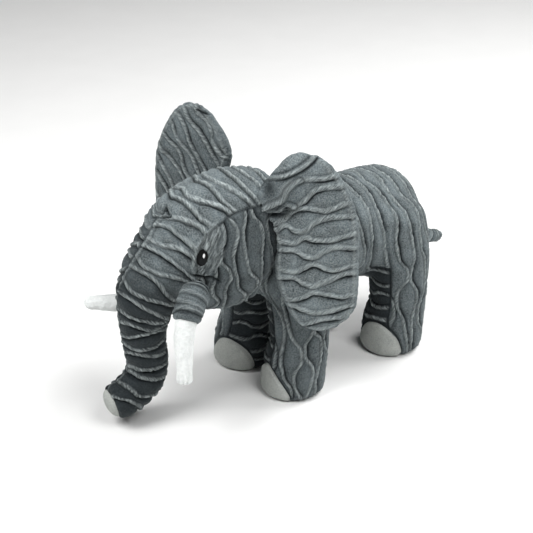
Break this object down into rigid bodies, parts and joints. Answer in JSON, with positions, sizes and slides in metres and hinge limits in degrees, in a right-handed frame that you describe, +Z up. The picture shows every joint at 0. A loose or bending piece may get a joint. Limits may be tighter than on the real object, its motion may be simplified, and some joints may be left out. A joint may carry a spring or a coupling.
{
  "type": "plush elephant toy",
  "caption": "Stuffed plush elephant toy in ridged grey fleece, standing, with head turned, raised ears, hanging trunk, white tusks in sleeves, embroidered eyes and pale toe patches",
  "frame": {"origin": "on the floor, under the centre of the bounding box", "axes": "+Z up; the torso lies along X and the toy faces -X; its left side is -Y"},
  "size_m": [0.401, 0.205, 0.2565],
  "materials": {
    "grey_plush": "short-pile polyester plush, embossed with raised wavy ridges",
    "sleeve_plush": "the same grey plush, gathered in rings",
    "taupe_plush": "smooth short velboa plush",
    "white_plush": "soft white long-pile plush",
    "black_thread": "glossy embroidery thread"
  },
  "bodies": {
    "root": {"torso": "grey_plush", "front_left_leg": "grey_plush", "front_right_leg": "grey_plush", "hind_left_leg": "grey_plush", "hind_right_leg": "grey_plush", "front_left_toe": "taupe_plush", "front_right_toe": "taupe_plush", "hind_left_toe": "taupe_plush", "hind_right_toe": "taupe_plush", "head": "grey_plush", "trunk": "grey_plush", "trunk_tip": "taupe_plush", "left_eye": "black_thread", "right_eye": "black_thread", "left_tusk_sleeve": "sleeve_plush", "right_tusk_sleeve": "sleeve_plush", "left_tusk": "white_plush", "right_tusk": "white_plush", "left_ear": "grey_plush", "right_ear": "grey_plush", "tail": "grey_plush"}
  },
  "joints": []
}
